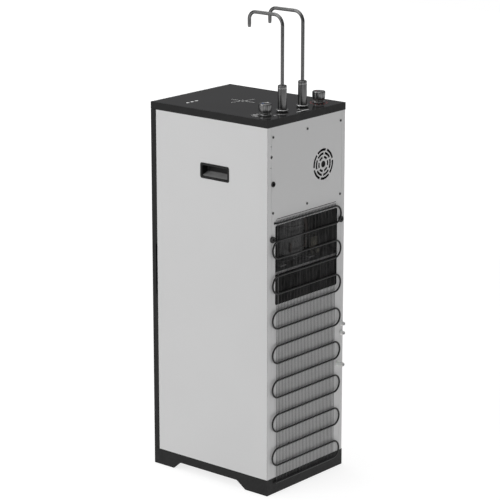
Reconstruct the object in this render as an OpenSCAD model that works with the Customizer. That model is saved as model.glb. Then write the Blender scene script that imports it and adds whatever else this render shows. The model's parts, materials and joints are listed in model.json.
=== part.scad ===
// Floor-standing hot and cold water dispenser with built-in purifier.
// +Z up, the door faces -Y, the condenser faces +Y. Each module draws its sub-part with the
// cabinet's own footprint centred at X = Y = 0 on the floor; placed() then moves the whole
// object forward so that its full depth, rear fittings included, is centred on the origin.

/* [Cabinet] */
// Width across the side panels
body_w = 318; // [316:1:322]
// Depth from door to rear panel
body_d = 396; // [394:1:400]
// Height of the top plate above the floor
body_h = 1000; // [996:1:1010]
// Thickness of the top plate
top_t = 19.4; // [18:0.1:22]
// Height of the plinth
plinth_h = 44.7; // [42:0.1:48]
// Depth of the door with its front glass
door_t = 18; // [17:0.1:19]
// Sheet metal thickness of panels and shelf
sheet = 1; // [0.8:0.1:1.2]

/* [Taps] */
// Distance between the two spouts
tap_gap = 82; // [80:1:90]
// Distance between the two knobs
knob_gap = 218; // [214:1:224]
// Distance of taps and knobs behind the cabinet's centre
tap_y = 148; // [144:1:152]
// Height of the spout's centreline above the top plate
spout_h = 246; // [230:1:260]
// Reach of the spout from its column
spout_reach = 109; // [100:1:115]
// Outer radius of the spout tube
spout_r = 4.65; // [4.5:0.05:4.8]

/* [Condenser] */
// Outer radius of the condenser tube
cond_r = 2.45; // [2.2:0.05:2.6]
// Distance of the tube's centreline behind the rear panel
cond_off = 5.6; // [5.4:0.1:6.5]
// Spacing of the horizontal runs
cond_pitch = 46.6; // [46.6:0.1:46.8]
// Half length of a straight run
cond_half = 117.3; // [116:0.1:118]
// Spacing of the vertical wires
wire_pitch = 6; // [5.8:0.1:6]

/* [Hidden] */
$fn = 48;

hw = body_w / 2;
hd = body_d / 2;
panel_z0 = plinth_h;
panel_z1 = body_h - top_t;
fit_gap = 0.05;
// How far a cutting shape runs past the face that it opens
over = 1;

// Colours
black = [0.05, 0.05, 0.055];
panel_grey = [0.72, 0.72, 0.72];
steel = [0.62, 0.63, 0.64];
chrome = [0.8, 0.8, 0.82];
copper = [0.72, 0.42, 0.28];
white = [0.92, 0.92, 0.9];

// Cabinet details
side_y0 = -hd + door_t + 0.5;
flange_w = 15;
bend_r = 2.5;
step_x0 = hw - 29;
front_flange = 19;
foot_x = hw - 20;
foot_y = hd - 22;
foot_r = 10.5;
pad_t = 3;
cord_z = 834;
cord_r = 5;
plug_x = hw - 15.4;
plug_z = 904.5;
plug_r = 4;
button_x = hw - 13.2;
button_z = [932, 877];
button_r = 1.5;
cover_half = hw - flange_w - 0.5;
cover_z0 = 740;
cover_gap = 1.6;
cover_gap_half = 122;
screw_x = 138;
screw_z = [955, 759];
cup_y = [-27, 70.6];
cup_z = [822, 863];
cup_bezel = 6.5;
cup_wall = 1.6;
cup_depth = 24;
window_half = 128;
window_z = [514, 724];
window_r = 5.5;
arch_low = [-130, 125];
arch_high = [-105.6, 94];
arch_top = 21;
arch_r = 9;

// Magnet that holds the door
catch_x = 125;
catch_z = 660;

// Door hinge line, near the cabinet's -X edge
hinge_x = -hw + 9;
hinge_y = -hd + 9;
hinge_r = 3;
door_z0 = panel_z0 + 0.8;
door_z1 = panel_z1 - 0.8;
door_back = -hd + door_t - 0.2;
pin_in = 12;

// Condenser: the runs, and the tube's ends bent into the cabinet
cond_runs = 16;
cond_x = 3.5;
cond_y = hd + cond_off;
cond_first = 32;
cond_last = cond_first + cond_pitch * (cond_runs - 1);
end_stub = 3;
end_bend = 7;
tube_end_x = cond_x + cond_half + end_stub + end_bend;
tube_hole_r = 3.4;

// Condenser spacers on the rear panel
clip_x = 141;
clip_z = 690.5;
clip_r = 8.3;
clip_pin_r = 1.5;
rest_x = 69;
rest_z = cond_first + 2 * cond_pitch;

// Fan
fan_x = -67;
fan_z = 851;
fan_size = 92;
fan_t = 25;
fan_hub_r = 17;
fan_shaft_r = 1.5;

// Shelf and what stands on it
shelf_top = 600;
comp_x = 22;
comp_y = 134;
comp_z = 609;
comp_r = 56;
comp_foot = [58, 40];
foot_plate_t = 3;
cold_x = 60;
cold_y = -85;
cold_r = 62;
cold_z = [640, 850];
coil_r = 2.9;
jacket_r = 76;
hot_x = -88;
hot_y = -85;
hot_r = 48;
hot_z = [660, 850];
heater_seat = 6;
shelf_hole_x = [-140, -20];
shelf_hole_y = 60;

// Filters
filter_x = [-78, 0, 78];
filter_y = -118;
filter_r = 30;
filter_z = [110, 420];

// Rear fittings for 6.35 mm tube
tube_bore_r = 3.3;
inlet_pos = [-136, 293];
drain_pos = [-149.4, 376];
tank_pos = [-149.4, 402];
collet_t = 1;
inlet_out = 17.5;
inlet_shank_r = 6;
small_out = 8;
small_shank_r = 4.7;
collet_out = 3;
rear_reach = inlet_out + collet_out;

// Taps and knobs
tap_x = tap_gap / 2;
knob_x = knob_gap / 2;
glass_t = 3.2;
rim_t = 2.2;
deck_t = 3;
deck_z = body_h - glass_t - deck_t;
tap_thread_r = 8;
tap_bottom = body_h - 52;
collar_r = 11.5;
collar_z = [body_h + 6, body_h + 68];
spout_seat = body_h + 30;
knob_neck_r = 6;
knob_stem_r = 3;
knob_z = [body_h + 5.6, body_h + 31];

// Basic shapes

// A box from its lowest to its highest corner
module block(low, high) {
    translate(low) cube(high - low);
}

// A cylinder along +Z from its foot
module post(x, y, z0, z1, r) {
    translate([x, y, z0]) cylinder(h = z1 - z0, r = r);
}

// A cylinder along +Y
module rod_y(x, z, y0, y1, r) {
    translate([x, y0, z]) rotate([-90, 0, 0]) cylinder(h = y1 - y0, r = r);
}

// A cylinder along +X
module rod_x(x0, x1, y, z, r) {
    translate([x0, y, z]) rotate([0, 90, 0]) cylinder(h = x1 - x0, r = r);
}

// A flat rectangle with round corners, centred
module round_rect(w, h, r) {
    square([w - 2 * r, h], center = true);
    square([w, h - 2 * r], center = true);
    for (sx = [-1, 1], sy = [-1, 1])
        translate([sx * (w / 2 - r), sy * (h / 2 - r)]) circle(r);
}

// A hexagonal prism along +Z with a size across flats
module hex(x, y, z0, z1, flats) {
    translate([x, y, z0]) cylinder(h = z1 - z0, d = flats / cos(30), $fn = 6);
}

// Moves a sub-part from the cabinet's own frame to the object's frame
module placed() {
    translate([0, -rear_reach / 2, 0]) children();
}

// The same shape on both sides of the cabinet
module both_sides(x) {
    for (s = [-1, 1]) translate([s * x, tap_y, 0]) children();
}

// A tube of radius r swept along a list of points
function unit(v) = v / norm(v);
function tangent(p, i) = unit(p[min(i + 1, len(p) - 1)] - p[max(i - 1, 0)]);
function side_of(t) = unit(cross(t, abs(t[2]) < 0.9 ? [0, 0, 1] : [1, 0, 0]));
function carried(n, t) = unit(n - (n * t) * t);
function normals(p) = [
    for (i = 0, n = side_of(tangent(p, 0)); i < len(p);
        i = i + 1, n = i < len(p) ? carried(n, tangent(p, i)) : n) n
];
function ring_points(p, r, sides) = [
    let (ns = normals(p))
    for (i = [0:len(p) - 1], k = [0:sides - 1])
        let (a = 360 * k / sides, b = cross(tangent(p, i), ns[i]))
            p[i] + r * (cos(a) * ns[i] + sin(a) * b)
];
module swept_tube(p, r, sides = 8) {
    rings = len(p);
    walls = [
        for (i = [0:rings - 2], k = [0:sides - 1])
            let (n = (k + 1) % sides)
                [i * sides + k, (i + 1) * sides + k, (i + 1) * sides + n, i * sides + n]
    ];
    caps = [[for (k = [0:sides - 1]) k],
        [for (k = [0:sides - 1]) (rings - 1) * sides + sides - 1 - k]];
    polyhedron(points = ring_points(p, r, sides), faces = concat(walls, caps));
}

// A smooth line through a few points
function spline_point(a, b, c, d, t) = 0.5 * (2 * b + (c - a) * t
    + (2 * a - 5 * b + 4 * c - d) * t * t + (3 * b - a - 3 * c + d) * t * t * t);
function smooth(p, steps = 5) = concat([
    for (i = [0:len(p) - 2], k = [0:steps - 1])
        spline_point(p[max(i - 1, 0)], p[i], p[i + 1], p[min(i + 2, len(p) - 1)], k / steps)
], [p[len(p) - 1]]);

// Base

// The rounded upper corner of an arch, where a side that rises at this slope meets the flat top
function arch_corner(y, side, slope) = [
    for (i = [0:6])
        let (a = 90 + slope * (1 - i / 6))
            [y + side * (arch_r * tan(slope / 2) + arch_r * cos(a)), arch_top - arch_r + arch_r * sin(a)]
];

module arch_cut() {
    rear_slope = atan2(arch_top, arch_low[1] - arch_high[1]);
    front_slope = atan2(arch_top, arch_high[0] - arch_low[0]);
    rear_corner = arch_corner(arch_high[1], -1, rear_slope);
    rotate([90, 0, 90]) linear_extrude(body_w + 2 * over, center = true)
        polygon(concat(
            [[arch_low[0] - over / tan(front_slope), -over]],
            arch_corner(arch_high[0], 1, front_slope),
            [for (i = [6:-1:0]) rear_corner[i]],
            [[arch_low[1] + over / tan(rear_slope), -over]]
        ));
}

module plinth() {
    wall = 4;
    deck = 3.5;
    ground_gap = 0.8;
    boss_r = 14;
    hinge_boss_r = 7;
    color(black) difference() {
        union() {
            difference() {
                block([-hw, -hd, ground_gap], [hw, hd, plinth_h]);
                block([-hw + wall, -hd + wall, -over], [hw - wall, hd - wall, plinth_h - deck]);
            }
            for (sx = [-1, 1], sy = [-1, 1])
                post(sx * foot_x, sy * foot_y, ground_gap, plinth_h - deck, boss_r);
            post(hinge_x, hinge_y, plinth_h - pin_in, plinth_h - deck, hinge_boss_r);
        }
        arch_cut();
        for (sx = [-1, 1], sy = [-1, 1]) post(sx * foot_x, sy * foot_y, -over, pad_t, foot_r);
        post(hinge_x, hinge_y, plinth_h - pin_in + 2, plinth_h + over, hinge_r);
        rod_y(tube_end_x, cond_first, hd - wall - over, hd + over, tube_hole_r);
    }
}

module foot_pads() {
    color([0.12, 0.12, 0.12])
        for (sx = [-1, 1], sy = [-1, 1]) post(sx * foot_x, sy * foot_y, 0, pad_t, foot_r);
}

module base_pan() {
    pan_half = hw - 2.5;
    rise = 14;
    y0 = side_y0 + 2;
    y1 = hd - 3;
    drain_at = 60;
    color(steel) difference() {
        union() {
            block([-pan_half, y0, plinth_h], [pan_half, y1, plinth_h + sheet]);
            block([-pan_half, y0, plinth_h], [sheet - pan_half, y1, plinth_h + rise]);
            block([pan_half - sheet, y0, plinth_h], [pan_half, y1, plinth_h + rise]);
        }
        for (x = [-drain_at, drain_at], y = [-drain_at, drain_at])
            post(x, y, plinth_h - over, plinth_h + sheet + over, 4);
    }
}

// Shell

// The floor area inside one face of the bent sheet, with its rear corner rounded
module bend_area(x1, y1, r) {
    translate([hw - flange_w, side_y0]) square([x1 - hw + flange_w, y1 - side_y0 - r]);
    translate([hw - flange_w, side_y0]) square([x1 - hw + flange_w - r, y1 - side_y0]);
    translate([x1 - r, y1 - r]) circle(r);
}

// A side panel's section: side, rounded rear bend, rear flange, step behind the rear cover
// and front flange
module panel_section() {
    difference() {
        bend_area(hw, hd, bend_r);
        translate([-over, -over]) bend_area(hw - sheet + over, hd - sheet + over, bend_r - sheet);
    }
    translate([step_x0, hd - 2 * sheet]) square([hw - flange_w + 2 - step_x0, sheet]);
    translate([hw - front_flange, side_y0]) square([front_flange, sheet]);
}

module side_shape() {
    difference() {
        translate([0, 0, panel_z0]) linear_extrude(panel_z1 - panel_z0) panel_section();
        block([hw - 2, cup_y[0] + 3, cup_z[0] + 3], [hw + over, cup_y[1] - 3, cup_z[1] - 3]);
        for (z = screw_z) rod_y(screw_x, z, hd - 3, hd + over, 1.6);
        rod_y(clip_x, clip_z, hd - 3, hd - sheet, clip_pin_r);
    }
}

module side_panel_right() {
    color(panel_grey) difference() {
        side_shape();
        for (z = button_z) rod_y(button_x, z, hd - 3, hd + over, button_r);
        rod_y(plug_x, plug_z, hd - 3, hd + over, plug_r);
        rod_y(screw_x, cord_z, hd - 3, hd + over, cord_r);
        rod_y(tube_end_x, cond_last, hd - 3, hd - sheet, tube_hole_r);
    }
}

module side_panel_left() {
    color(panel_grey) difference() {
        mirror([1, 0, 0]) side_shape();
        for (p = [drain_pos, tank_pos]) rod_y(p[0], p[1], hd - 3, hd + over, small_shank_r);
        rod_y(inlet_pos[0], inlet_pos[1], hd - 3, hd - sheet, 10.5);
    }
}

// A recessed grip, open towards +X
module cup_shape() {
    mid_y = (cup_y[0] + cup_y[1]) / 2;
    mid_z = (cup_z[0] + cup_z[1]) / 2;
    w = cup_y[1] - cup_y[0];
    h = cup_z[1] - cup_z[0];
    lip = 1.2;
    inner_w = w - 2 * cup_bezel;
    inner_h = h - 2 * cup_bezel;
    translate([hw, mid_y, mid_z]) rotate([90, 0, 90]) difference() {
        union() {
            linear_extrude(lip) round_rect(w, h, 5);
            translate([0, 0, -cup_depth])
                linear_extrude(cup_depth) round_rect(inner_w + 2 * cup_wall, inner_h + 2 * cup_wall, 4);
        }
        translate([0, 0, -cup_depth + cup_wall]) linear_extrude(cup_depth + lip)
            round_rect(inner_w, inner_h, 3);
    }
    // Ramp that lifts the floor of the grip towards its back
    floor_z = cup_z[0] + cup_bezel;
    ramp_w = inner_w - 6;
    ramp_d = cup_depth - 5;
    translate([hw - cup_depth + cup_wall, mid_y + ramp_w / 2, floor_z])
        rotate([90, 0, 0]) linear_extrude(ramp_w)
            polygon([[0, -0.5], [ramp_d, -0.5], [ramp_d, 0], [0, 5]]);
}

module handle_cup_right() {
    color(black) cup_shape();
}

module handle_cup_left() {
    color(black) mirror([1, 0, 0]) cup_shape();
}

// One curved slot of the fan grille, drawn flat
module arc_slot(r_mid, width, a0, a1) {
    steps = 16;
    r1 = r_mid - width / 2;
    r2 = r_mid + width / 2;
    polygon(concat(
        [for (i = [0:steps]) let (a = a0 + (a1 - a0) * i / steps) r1 * [cos(a), sin(a)]],
        [for (i = [steps:-1:0]) let (a = a0 + (a1 - a0) * i / steps) r2 * [cos(a), sin(a)]]
    ));
}

module grille_cut() {
    spoke = 5.2;
    // Each ring: middle radius, slot width, first spoke's angle
    rings = [[38.2, 6.4, 11], [28.4, 6.2, 24], [18.2, 6, 32]];
    translate([fan_x, hd + over, fan_z]) rotate([90, 0, 0]) linear_extrude(3 * over) {
        circle(9);
        for (g = rings, k = [0:5]) {
            half = asin(spoke / 2 / g[0]);
            start = 180 - g[2] - 60 * k;
            arc_slot(g[0], g[1], start - 60 + half, start - half);
        }
    }
}

module rear_cover() {
    color(panel_grey) difference() {
        block([-cover_half, hd - sheet, cover_z0], [cover_half, hd, panel_z1]);
        block([-cover_gap_half, hd - 3, cover_z0 - over],
            [cover_gap_half, hd + over, cover_z0 + cover_gap]);
        grille_cut();
        for (x = [-screw_x, 0, screw_x], z = screw_z) rod_y(x, z, hd - 3, hd + over, 1.6);
        rod_y(screw_x, cord_z, hd - 3, hd + over, cord_r);
        rod_y(plug_x, plug_z, hd - 3, hd + over, plug_r);
    }
}

module cover_screws() {
    color([0.3, 0.3, 0.3]) for (x = [-screw_x, 0, screw_x], z = screw_z) difference() {
        union() {
            rod_y(x, z, hd - 6, hd + 0.6, 1.6);
            rod_y(x, z, hd, hd + 1.4, 3.2);
        }
        translate([x - 2, hd + 0.7, z - 0.4]) cube([4, over, 0.8]);
        translate([x - 0.4, hd + 0.7, z - 2]) cube([0.8, over, 4]);
    }
}

module rear_panel() {
    mid_z = (window_z[0] + window_z[1]) / 2;
    color(panel_grey) difference() {
        block([-cover_half, hd - sheet, panel_z0], [cover_half, hd, cover_z0]);
        translate([0, hd + over, mid_z]) rotate([90, 0, 0]) linear_extrude(3 * over)
            round_rect(2 * window_half, window_z[1] - window_z[0], window_r);
        rod_y(tube_end_x, cond_last, hd - 3, hd + over, tube_hole_r);
        rod_y(inlet_pos[0], inlet_pos[1], hd - 3, hd + over, inlet_shank_r);
        for (s = [-1, 1]) rod_y(s * clip_x, clip_z, hd - 3, hd + over, clip_pin_r);
        for (s = [-1, 1]) rod_y(cond_x + s * rest_x, rest_z, hd - 3, hd + over, clip_pin_r);
    }
}

module front_frame() {
    y0 = side_y0 + sheet;
    open_half = 126;
    open_z = [80, 580];
    color([0.25, 0.25, 0.26]) difference() {
        block([-hw + 2, y0, panel_z0 + 1], [hw - 2, y0 + sheet, panel_z1 - 1]);
        block([-open_half, y0 - over, open_z[0]], [open_half, y0 + sheet + over, open_z[1]]);
        block([catch_x - 7, y0 - over, catch_z - 20], [catch_x + 7, y0 + sheet + over, catch_z + 20]);
    }
}

module mid_shelf() {
    y0 = side_y0 + 4;
    y1 = hd - 3;
    lip_z = shelf_top - 6;
    shelf_w = hw - 2;
    color(steel) difference() {
        union() {
            block([-shelf_w, y0, shelf_top - sheet], [shelf_w, y1, shelf_top]);
            block([-shelf_w + 30, y1 - sheet, lip_z], [shelf_w - 30, y1, shelf_top]);
            for (s = [-1, 1])
                block([s > 0 ? shelf_w - sheet : -shelf_w, y0, shelf_top - 20],
                    [s > 0 ? shelf_w : -shelf_w + sheet, y1 - 2, shelf_top]);
        }
        for (sx = [-1, 1], sy = [-1, 1])
            post(comp_x + sx * comp_foot[0], comp_y + sy * comp_foot[1],
                shelf_top - sheet - over, shelf_top + over, 4);
        for (x = shelf_hole_x) post(x, shelf_hole_y, shelf_top - sheet - over, shelf_top + over, 9);
    }
}

module shelf_post() {
    x0 = 108;
    x1 = 111;
    y1 = hd - 4;
    color(panel_grey) difference() {
        block([x0, y1 - 18, plinth_h + sheet], [x1, y1, shelf_top - 6]);
        block([x0 - over, y1 - 14, plinth_h + 40], [x1 - sheet, y1 - sheet, shelf_top - 20]);
    }
}

// Top

module tap_holes(z0, z1) {
    both_sides(tap_x) translate([0, 0, z0]) cylinder(h = z1 - z0, r = tap_thread_r);
    both_sides(knob_x) translate([0, 0, z0]) cylinder(h = z1 - z0, r = knob_neck_r);
}

module top_frame() {
    wall = 3;
    ledge = 18;
    color(black) difference() {
        union() {
            difference() {
                block([-hw, -hd, panel_z1], [hw, hd, body_h]);
                block([-hw + wall, -hd + wall, panel_z1 + 2], [hw - wall, hd - wall, deck_z]);
                // Opening inside the ledge that rests on the panels
                block([-hw + ledge, -hd + ledge, panel_z1 - over], [hw - ledge, hd - ledge, deck_z]);
                block([-hw + rim_t, -hd + rim_t, body_h - glass_t],
                    [hw - rim_t, hd - rim_t, body_h + over]);
            }
            post(hinge_x, hinge_y, panel_z1, deck_z + 1, 7);
        }
        tap_holes(deck_z - over, body_h);
        post(hinge_x, hinge_y, panel_z1 - over, panel_z1 + pin_in - 2, hinge_r);
    }
}

module top_glass() {
    color([0.07, 0.07, 0.08]) difference() {
        block([-hw + rim_t, -hd + rim_t, body_h - glass_t], [hw - rim_t, hd - rim_t, body_h]);
        tap_holes(body_h - 2 * glass_t, body_h + over);
    }
}

// Door

module door_frame() {
    edge_r = 8.9;
    glass_y = -hd + 3.8;
    rim = 1.4;
    color(black) difference() {
        union() {
            block([hinge_x, -hd + 0.1, door_z0], [hw, door_back, door_z1]);
            post(hinge_x, hinge_y, door_z0, door_z1, edge_r);
        }
        block([hinge_x + rim, -hd - over, door_z0 + rim], [hw - rim, glass_y, door_z1 - rim]);
        block([hinge_x + 24, glass_y - over, door_z0 + 24], [hw - 24, door_back - 3, door_z1 - 24]);
        post(hinge_x, hinge_y, door_z0 - over, door_z0 + pin_in, hinge_r + fit_gap);
        post(hinge_x, hinge_y, door_z1 - pin_in, door_z1 + over, hinge_r + fit_gap);
        // Finger groove along the free edge
        block([hw - 4, door_back - 5, 480], [hw + over, door_back + over, 620]);
    }
}

module door_glass() {
    rim = 1.4;
    color([0.06, 0.06, 0.07])
        block([hinge_x + rim, -hd + 0.1, door_z0 + rim], [hw - rim, -hd + 3.8, door_z1 - rim]);
}

module hinge_pins() {
    color(steel) {
        post(hinge_x, hinge_y, plinth_h - pin_in + 2, door_z0 + pin_in - 1, hinge_r);
        post(hinge_x, hinge_y, door_z1 - pin_in + 1, panel_z1 + pin_in - 2, hinge_r);
    }
}

module magnet_catch() {
    color([0.2, 0.2, 0.2])
        block([catch_x - 6.5, side_y0 + 0.2, catch_z - 19.5],
            [catch_x + 6.5, side_y0 + 16, catch_z + 19.5]);
}

// Condenser

module run(i) {
    z = cond_first + cond_pitch * i;
    rod_x(-cond_half + cond_x, cond_half + cond_x, cond_y, z, cond_r);
}

// A half-round return bend; s is +1 on the +X side and -1 on the -X side
module return_bend(i, s) {
    z = cond_first + cond_pitch * (i + 0.5);
    translate([cond_x + s * cond_half, cond_y, z]) rotate([90, 0, 0]) rotate([0, 0, s > 0 ? -90 : 90])
        rotate_extrude(angle = 180) translate([cond_pitch / 2, 0]) circle(cond_r, $fn = 24);
}

// The tube's end: a straight stub and a quarter bend into the cabinet
module tube_end(z) {
    x = tube_end_x - end_bend;
    rod_x(cond_x + cond_half, x, cond_y, z, cond_r);
    translate([x, cond_y - end_bend, z])
        rotate_extrude(angle = 90) translate([end_bend, 0]) circle(cond_r, $fn = 24);
    rod_y(tube_end_x, z, hd - 8, cond_y - end_bend, cond_r);
}

module condenser_tube() {
    color([0.13, 0.13, 0.14]) {
        for (i = [0:cond_runs - 1]) run(i);
        for (i = [0:cond_runs - 2]) return_bend(i, i % 2 == 0 ? -1 : 1);
        tube_end(cond_first);
        tube_end(cond_last);
    }
}

module condenser_wires() {
    wire_r = 0.6;
    wires = 20;
    end = 6;
    y = cond_y - cond_r - wire_r - 0.02;
    color([0.15, 0.15, 0.16])
        for (k = [-wires:wires])
            post(cond_x + k * wire_pitch, y, cond_first - end, cond_last + end, wire_r);
}

module condenser_clips() {
    color(black) {
        // Screwed spacers beside the top return bends
        for (s = [-1, 1]) difference() {
            union() {
                rod_y(s * clip_x, clip_z, hd - 5, hd + 0.5, clip_pin_r);
                rod_y(s * clip_x, clip_z, hd, hd + 5, clip_r);
            }
            rod_y(s * clip_x, clip_z, hd + 2.5, hd + 6, clip_r - 4.5);
            // Groove that clears the top return bend
            translate([cond_x - cond_half, cond_y, cond_first + cond_pitch * (cond_runs - 1.5)])
                rotate([90, 0, 0]) rotate_extrude() translate([cond_pitch / 2, 0])
                    circle(cond_r + 0.3, $fn = 24);
        }
        // Small rests behind a low run
        for (s = [-1, 1]) {
            rod_y(cond_x + s * rest_x, rest_z, hd - 5, hd + 0.5, clip_pin_r);
            rod_y(cond_x + s * rest_x, rest_z, hd, cond_y - cond_r - 0.1, 2);
        }
    }
}

// Refrigeration

module compressor_shell() {
    color([0.16, 0.16, 0.17]) translate([comp_x, comp_y, comp_z]) difference() {
        rotate_extrude() polygon(concat(
            [[0, 0], [34, 0]],
            [for (i = [0:6]) let (a = -75 + 75 * i / 6) [34 + 22 * cos(a), 22 + 22 * sin(a)]],
            [for (i = [1:6]) let (a = 90 * i / 6) [16 + 40 * cos(a), 106 + 40 * sin(a)]],
            [[0, 146]]
        ));
        translate([0, 0, 14]) cylinder(h = 98, r = 50);
    }
}

module compressor_base() {
    z0 = comp_z - foot_plate_t;
    foot_half = comp_foot[1] + 12;
    color([0.2, 0.2, 0.2]) difference() {
        union() {
            block([comp_x - comp_foot[0], comp_y - 30, z0], [comp_x + comp_foot[0], comp_y + 30, comp_z]);
            for (sx = [-1, 1])
                block([comp_x + sx * comp_foot[0] - 12, comp_y - foot_half, z0],
                    [comp_x + sx * comp_foot[0] + 12, comp_y + foot_half, comp_z]);
        }
        for (sx = [-1, 1], sy = [-1, 1])
            post(comp_x + sx * comp_foot[0], comp_y + sy * comp_foot[1], z0 - over, comp_z + over, 7);
    }
}

module compressor_mounts() {
    color([0.1, 0.1, 0.1]) for (sx = [-1, 1], sy = [-1, 1])
        translate([comp_x + sx * comp_foot[0], comp_y + sy * comp_foot[1], 0]) difference() {
            union() {
                post(0, 0, shelf_top, comp_z - foot_plate_t, 10);
                post(0, 0, comp_z - foot_plate_t, comp_z, 7);
                post(0, 0, comp_z, comp_z + 3, 9);
            }
            post(0, 0, shelf_top - over, comp_z + 3 + over, 4);
        }
}

module terminal_cover() {
    color(black)
        block([comp_x - 22, comp_y - comp_r - 26, 650], [comp_x + 22, comp_y - comp_r - 0.5, 700]);
}

discharge_route = [
    [comp_x + 20, comp_y + 10, 755.4], [comp_x + 24, comp_y + 12, 765], [comp_x + 44, comp_y + 18, 772],
    [comp_x + 72, comp_y + 24, 764], [tube_end_x - 16, hd - 32, 745],
    [tube_end_x, hd - 22, cond_last + 1], [tube_end_x, hd - 8.2, cond_last]
];

module discharge_pipe() {
    color(copper) swept_tube(smooth(discharge_route), 2.4);
}

module filter_drier() {
    color(copper) translate([-112, 112, 618]) rotate([0, 14, 0]) rotate_extrude() polygon([
        [0, 0], [2.5, 0], [2.5, 12], [9.5, 20], [9.5, 92], [2.5, 100], [2.5, 112], [0, 112]
    ]);
}

// Solenoid valve on the shelf that lets water in from the filters
module water_valve() {
    x = -62;
    y = 162;
    body_z = 618;
    coil = [13, 12, 12];
    color([0.7, 0.58, 0.35]) {
        block([x - 16, y - 11, shelf_top], [x + 16, y + 11, shelf_top + 3]);
        post(x, y, shelf_top + 3, body_z + 12, 10);
        rod_y(x, body_z, y - 24, y + 24, 5);
        for (s = [-1, 1]) translate([x, y + s * 20, body_z]) rotate([90, 0, 0])
            cylinder(h = 6, r = 7.5, center = true, $fn = 6);
        translate([x, y, body_z + 24]) cube(2 * coil, center = true);
        post(x, y, body_z + 36, body_z + 42, 6);
        // Spade terminals
        for (s = [-1, 1])
            block([x + s * 6 - 0.4, y + 4, body_z + 36], [x + s * 6 + 0.4, y + 10, body_z + 46]);
    }
}

// Tanks

module cold_tank() {
    wall = 1;
    color(steel) translate([cold_x, cold_y, 0]) difference() {
        union() {
            post(0, 0, cold_z[0], cold_z[1], cold_r);
            post(0, 0, cold_z[1], cold_z[1] + 30, 5);
            post(0, 0, cold_z[0] - 22, cold_z[0], 5);
        }
        post(0, 0, cold_z[0] + wall, cold_z[1] - wall, cold_r - wall);
        post(0, 0, cold_z[1] - 3, cold_z[1] + 31, 3.3);
        post(0, 0, cold_z[0] - 23, cold_z[0] + 3, 3.3);
    }
}

coil_turns = 6;
coil_steps = 20;
coil_pitch = 14;
coil_path_r = cold_r + coil_r + 1;
coil_low = 700;
coil_path = [
    for (i = [0:coil_turns * coil_steps])
        let (a = 90 + 360 * i / coil_steps)
            [cold_x + coil_path_r * cos(a), cold_y + coil_path_r * sin(a),
                coil_low + coil_pitch * i / coil_steps]
];

module evaporator_coil() {
    color(copper) swept_tube(coil_path, coil_r);
}

// Foam round a tank: an outer wall with a floor and a lid
module jacket(x, y, z0, z1, r, inner_r) {
    foam = 9;
    translate([x, y, 0]) difference() {
        post(0, 0, z0 - foam, z1 + foam, r);
        post(0, 0, z0 - 0.2, z1 + 0.2, inner_r);
        post(0, 0, z0 - foam - over, z1 + foam + over, 6);
    }
}

module tank_insulation() {
    color([0.85, 0.82, 0.7])
        jacket(cold_x, cold_y, cold_z[0], cold_z[1], jacket_r, coil_path_r + coil_r + 0.4);
}

module hot_tank() {
    wall = 1.2;
    color(chrome) translate([hot_x, hot_y, 0]) difference() {
        union() {
            post(0, 0, hot_z[0], hot_z[1], hot_r);
            post(0, 0, hot_z[1], hot_z[1] + 24, 5);
        }
        post(0, 0, hot_z[0] + wall, hot_z[1] - wall, hot_r - wall);
        post(0, 0, hot_z[1] - 3, hot_z[1] + 25, 3.3);
        post(0, 0, hot_z[0] - over, hot_z[0] + 3, 16);
    }
}

module heater() {
    z0 = hot_z[0];
    rod_top = z0 + 120;
    color(steel) translate([hot_x, hot_y, 0]) {
        post(0, 0, z0 - 5, z0, 24);
        post(0, 0, z0, z0 + heater_seat, 15.9);
        post(0, 0, z0 - 22, z0 - 5, 9);
        for (s = [-1, 1]) post(s * 8, 0, z0 + heater_seat, rod_top, 4);
        post(0, 0, rod_top, rod_top + heater_seat, 13);
    }
}

// Fan

module fan_frame() {
    half = fan_size / 2;
    y0 = hd - sheet - fan_t;
    color([0.08, 0.08, 0.08]) translate([fan_x, 0, fan_z]) difference() {
        union() {
            difference() {
                block([-half, y0, -half], [half, y0 + fan_t, half]);
                rod_y(0, 0, y0 - over, y0 + fan_t + over, half - 2);
            }
            rod_y(0, 0, y0, y0 + 4, fan_hub_r);
            for (a = [45:90:315])
                rotate([0, a, 0]) block([fan_hub_r - 1, y0, -2.5], [half - 1, y0 + 3, 2.5]);
        }
        for (sx = [-1, 1], sz = [-1, 1])
            rod_y(sx * 41.25, sz * 41.25, y0 - over, y0 + fan_t + over, 2.2);
        rod_y(0, 0, y0 + 1, y0 + 5, fan_shaft_r + fit_gap);
    }
}

module fan_rotor() {
    y0 = hd - sheet - fan_t;
    blades = 7;
    color([0.1, 0.1, 0.1]) translate([fan_x, 0, fan_z]) {
        rod_y(0, 0, y0 + 5, y0 + 21, fan_hub_r);
        rod_y(0, 0, y0 + 1.5, y0 + 5.5, fan_shaft_r);
        for (k = [0:blades - 1]) rotate([0, 360 * k / blades, 0])
            translate([fan_hub_r - 1.5, y0 + 13, 0]) rotate([38, 0, 0])
                translate([0, -1, -9]) cube([26, 2, 18]);
    }
}

// Electrics

module control_box() {
    low = [18, 132, 800];
    high = [124, 184, 900];
    wall = 2;
    color([0.85, 0.85, 0.85]) difference() {
        block(low, high);
        block(low + wall * [1, 1, 1], high - wall * [1, 1, 1]);
        rod_x(high[0] - 4, high[0] + over, 158, 850, 6);
    }
}

module cord_bushing() {
    color(black) difference() {
        union() {
            rod_y(screw_x, cord_z, hd - 5, hd, cord_r);
            rod_y(screw_x, cord_z, hd, hd + 2.4, 7);
        }
        rod_y(screw_x, cord_z, hd - 5 - over, hd + 2.4 + over, 3.8);
    }
}

// Water treatment

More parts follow.
